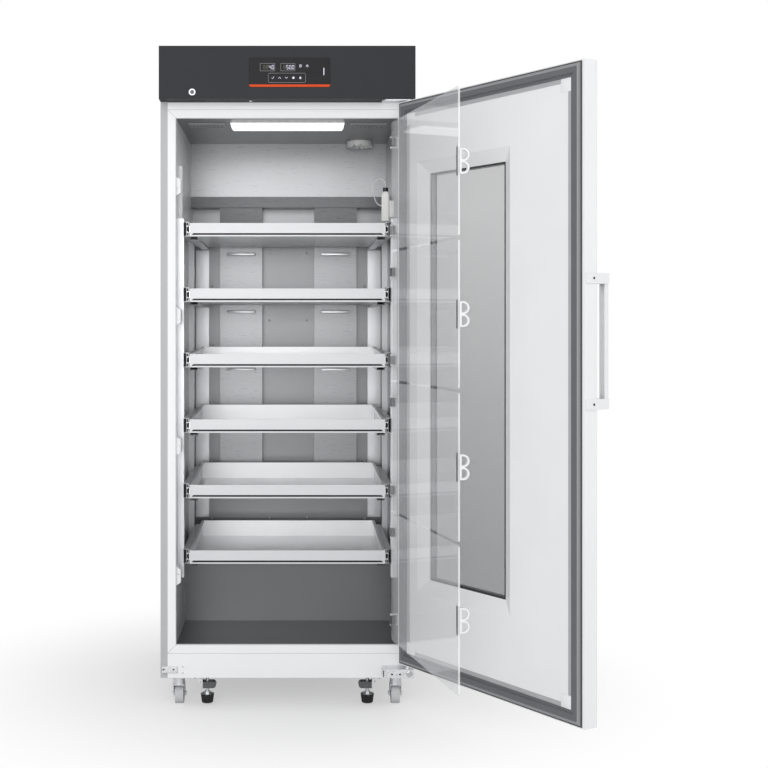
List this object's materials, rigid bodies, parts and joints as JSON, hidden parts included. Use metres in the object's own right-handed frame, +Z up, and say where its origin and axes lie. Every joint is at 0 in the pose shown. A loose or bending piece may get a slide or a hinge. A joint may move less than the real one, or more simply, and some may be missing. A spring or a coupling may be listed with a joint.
{
  "type": "blood bank refrigerator",
  "caption": "Tall white medical refrigerator with a swinging glazed outer door, clear inner doors and shallow sliding drawers, on casters and levelling feet.",
  "frame": {"origin": "on the floor under the middle of the cabinet's own footprint, without its doors and head", "axes": "+Z up, the front with the doors faces -Y, +X to the right as seen from the front"},
  "size_m": [1.2102, 1.4167, 2.001],
  "materials": {
    "white_steel": "powder coated",
    "foam": "rigid foam, matt",
    "stainless": "brushed",
    "white_plastic": "satin",
    "anthracite_plastic": "fine matt",
    "black_panel": "gloss",
    "orange_trim": "satin",
    "bright_metal": "polished",
    "zinc_steel": "zinc plated",
    "grey_rubber": "matt",
    "black_plastic": "matt",
    "clear_glass": "clear",
    "clear_acrylic": "clear",
    "lamp_lens": "diffusing",
    "coil_metal": "plain",
    "machine_black": "black paint",
    "tyre_grey": "matt"
  },
  "bodies": {
    "cabinet": {"outer_shell": "white_steel", "insulation": "foam", "inner_liner": "stainless", "front_frame": "white_plastic", "kick_panel": "white_steel", "fascia_cover": "anthracite_plastic", "control_panel": "black_panel", "accent_strip": "orange_trim", "lock_cylinder": "bright_metal", "door_switch": "black_plastic", "hinge_brackets": "zinc_steel", "inner_hinges": "white_plastic", "door_catches": "white_plastic", "fixed_slides": "zinc_steel", "side_uprights": "stainless", "ceiling_lamp": "lamp_lens", "ceiling_vents": "white_plastic", "evaporator_cover": "stainless", "air_ducts": "stainless", "evaporator": "coil_metal", "sensor_bottle": "white_plastic", "sensor_lead": "white_plastic", "base_brackets": "zinc_steel", "cooling_unit": "machine_black", "rear_cover": "white_steel"},
    "outer_door": {"door_shell": "white_steel", "door_liner": "white_plastic", "door_gasket": "grey_rubber", "window_glass": "clear_glass", "door_handle": "bright_metal"},
    "lock_plug": {"lock_plug": "bright_metal"},
    "switch_plunger": {"door_switch_plunger": "white_plastic"},
    "inner_door_1": {"inner_door_1": "clear_acrylic", "inner_door_fittings_1": "white_plastic"},
    "inner_door_2": {"inner_door_2": "clear_acrylic", "inner_door_fittings_2": "white_plastic"},
    "inner_door_3": {"inner_door_3": "clear_acrylic", "inner_door_fittings_3": "white_plastic"},
    "inner_door_4": {"inner_door_4": "clear_acrylic", "inner_door_fittings_4": "white_plastic"},
    "drawer_1": {"drawer_1": "stainless"},
    "slide_middle_1": {"slide_middle_1": "zinc_steel"},
    "drawer_2": {"drawer_2": "stainless"},
    "slide_middle_2": {"slide_middle_2": "zinc_steel"},
    "drawer_3": {"drawer_3": "stainless"},
    "slide_middle_3": {"slide_middle_3": "zinc_steel"},
    "drawer_4": {"drawer_4": "stainless"},
    "slide_middle_4": {"slide_middle_4": "zinc_steel"},
    "drawer_5": {"drawer_5": "stainless"},
    "slide_middle_5": {"slide_middle_5": "zinc_steel"},
    "drawer_6": {"drawer_6": "stainless"},
    "slide_middle_6": {"slide_middle_6": "zinc_steel"},
    "caster_fork_left": {"caster_fork_left": "zinc_steel"},
    "caster_wheel_front_left": {"caster_wheel_front_left": "tyre_grey"},
    "caster_wheel_rear_left": {"caster_wheel_rear_left": "tyre_grey"},
    "foot_left": {"foot_left": "black_plastic"},
    "caster_fork_right": {"caster_fork_right": "zinc_steel"},
    "caster_wheel_front_right": {"caster_wheel_front_right": "tyre_grey"},
    "caster_wheel_rear_right": {"caster_wheel_rear_right": "tyre_grey"},
    "foot_right": {"foot_right": "black_plastic"}
  },
  "joints": [
    {"name": "outer_door_hinge", "type": "hinge", "parent": "cabinet", "child": "outer_door", "pos_m": [0.364, -0.4, 0.989], "axis": [0, 0, 1], "range_deg": [-123, 3]},
    {"name": "inner_door_1_hinge", "type": "hinge", "parent": "cabinet", "child": "inner_door_1", "pos_m": [0.318, -0.346, 1.5879], "axis": [0, 0, 1], "range_deg": [-102.5, 3]},
    {"name": "inner_door_2_hinge", "type": "hinge", "parent": "cabinet", "child": "inner_door_2", "pos_m": [0.318, -0.346, 1.1916], "axis": [0, 0, 1], "range_deg": [-102.5, 3]},
    {"name": "inner_door_3_hinge", "type": "hinge", "parent": "cabinet", "child": "inner_door_3", "pos_m": [0.318, -0.346, 0.7953], "axis": [0, 0, 1], "range_deg": [-102.5, 3]},
    {"name": "inner_door_4_hinge", "type": "hinge", "parent": "cabinet", "child": "inner_door_4", "pos_m": [0.318, -0.346, 0.399], "axis": [0, 0, 1], "range_deg": [-102.5, 3]},
    {"name": "drawer_1_slide", "type": "slide", "parent": "cabinet", "child": "drawer_1", "axis": [0, -1, 0], "range_m": [0, 0.44]},
    {"name": "slide_middle_1_slide", "type": "slide", "parent": "cabinet", "child": "slide_middle_1", "axis": [0, -1, 0], "range_m": [0, 0.221]},
    {"name": "drawer_2_slide", "type": "slide", "parent": "cabinet", "child": "drawer_2", "axis": [0, -1, 0], "range_m": [0, 0.44]},
    {"name": "slide_middle_2_slide", "type": "slide", "parent": "cabinet", "child": "slide_middle_2", "axis": [0, -1, 0], "range_m": [0, 0.221]},
    {"name": "drawer_3_slide", "type": "slide", "parent": "cabinet", "child": "drawer_3", "axis": [0, -1, 0], "range_m": [0, 0.44]},
    {"name": "slide_middle_3_slide", "type": "slide", "parent": "cabinet", "child": "slide_middle_3", "axis": [0, -1, 0], "range_m": [0, 0.221]},
    {"name": "drawer_4_slide", "type": "slide", "parent": "cabinet", "child": "drawer_4", "axis": [0, -1, 0], "range_m": [0, 0.44]},
    {"name": "slide_middle_4_slide", "type": "slide", "parent": "cabinet", "child": "slide_middle_4", "axis": [0, -1, 0], "range_m": [0, 0.221]},
    {"name": "drawer_5_slide", "type": "slide", "parent": "cabinet", "child": "drawer_5", "axis": [0, -1, 0], "range_m": [0, 0.44]},
    {"name": "slide_middle_5_slide", "type": "slide", "parent": "cabinet", "child": "slide_middle_5", "axis": [0, -1, 0], "range_m": [0, 0.221]},
    {"name": "drawer_6_slide", "type": "slide", "parent": "cabinet", "child": "drawer_6", "axis": [0, -1, 0], "range_m": [0, 0.44]},
    {"name": "slide_middle_6_slide", "type": "slide", "parent": "cabinet", "child": "slide_middle_6", "axis": [0, -1, 0], "range_m": [0, 0.221]},
    {"name": "lock_turn", "type": "hinge", "parent": "cabinet", "child": "lock_plug", "pos_m": [-0.2845, -0.414, 1.862], "axis": [0, 1, 0], "range_deg": [0, 90]},
    {"name": "door_switch_press", "type": "slide", "parent": "cabinet", "child": "switch_plunger", "axis": [0, 0, 1], "range_m": [0, 0.003], "stiffness_N_per_m": 200, "springref_m": -0.002},
    {"name": "front_caster_swivel_left", "type": "hinge", "parent": "cabinet", "child": "caster_fork_left", "pos_m": [-0.332, -0.33, 0.08], "axis": [0, 0, 1], "continuous": true},
    {"name": "front_wheel_spin_left", "type": "hinge", "parent": "caster_fork_left", "child": "caster_wheel_front_left", "pos_m": [-0.332, -0.308, 0.03], "axis": [1, 0, 0], "continuous": true},
    {"name": "rear_wheel_spin_left", "type": "hinge", "parent": "cabinet", "child": "caster_wheel_rear_left", "pos_m": [-0.332, 0.31, 0.03], "axis": [1, 0, 0], "continuous": true},
    {"name": "foot_screw_left", "type": "slide", "parent": "cabinet", "child": "foot_left", "axis": [0, 0, 1], "range_m": [-0.012, 0.006]},
    {"name": "front_caster_swivel_right", "type": "hinge", "parent": "cabinet", "child": "caster_fork_right", "pos_m": [0.332, -0.33, 0.08], "axis": [0, 0, 1], "continuous": true},
    {"name": "front_wheel_spin_right", "type": "hinge", "parent": "caster_fork_right", "child": "caster_wheel_front_right", "pos_m": [0.332, -0.308, 0.03], "axis": [1, 0, 0], "continuous": true},
    {"name": "rear_wheel_spin_right", "type": "hinge", "parent": "cabinet", "child": "caster_wheel_rear_right", "pos_m": [0.332, 0.31, 0.03], "axis": [1, 0, 0], "continuous": true},
    {"name": "foot_screw_right", "type": "slide", "parent": "cabinet", "child": "foot_right", "axis": [0, 0, 1], "range_m": [-0.012, 0.006]}
  ],
  "couplings": [
    {"joint": "inner_door_1_hinge", "follows": "outer_door_hinge", "ratio": 0.82927},
    {"joint": "inner_door_2_hinge", "follows": "outer_door_hinge", "ratio": 0.82927},
    {"joint": "inner_door_3_hinge", "follows": "outer_door_hinge", "ratio": 0.82927},
    {"joint": "inner_door_4_hinge", "follows": "outer_door_hinge", "ratio": 0.82927},
    {"joint": "slide_middle_1_slide", "follows": "drawer_1_slide", "ratio": 0.5},
    {"joint": "slide_middle_2_slide", "follows": "drawer_2_slide", "ratio": 0.5},
    {"joint": "slide_middle_3_slide", "follows": "drawer_3_slide", "ratio": 0.5},
    {"joint": "slide_middle_4_slide", "follows": "drawer_4_slide", "ratio": 0.5},
    {"joint": "slide_middle_5_slide", "follows": "drawer_5_slide", "ratio": 0.5},
    {"joint": "slide_middle_6_slide", "follows": "drawer_6_slide", "ratio": 0.5}
  ]
}
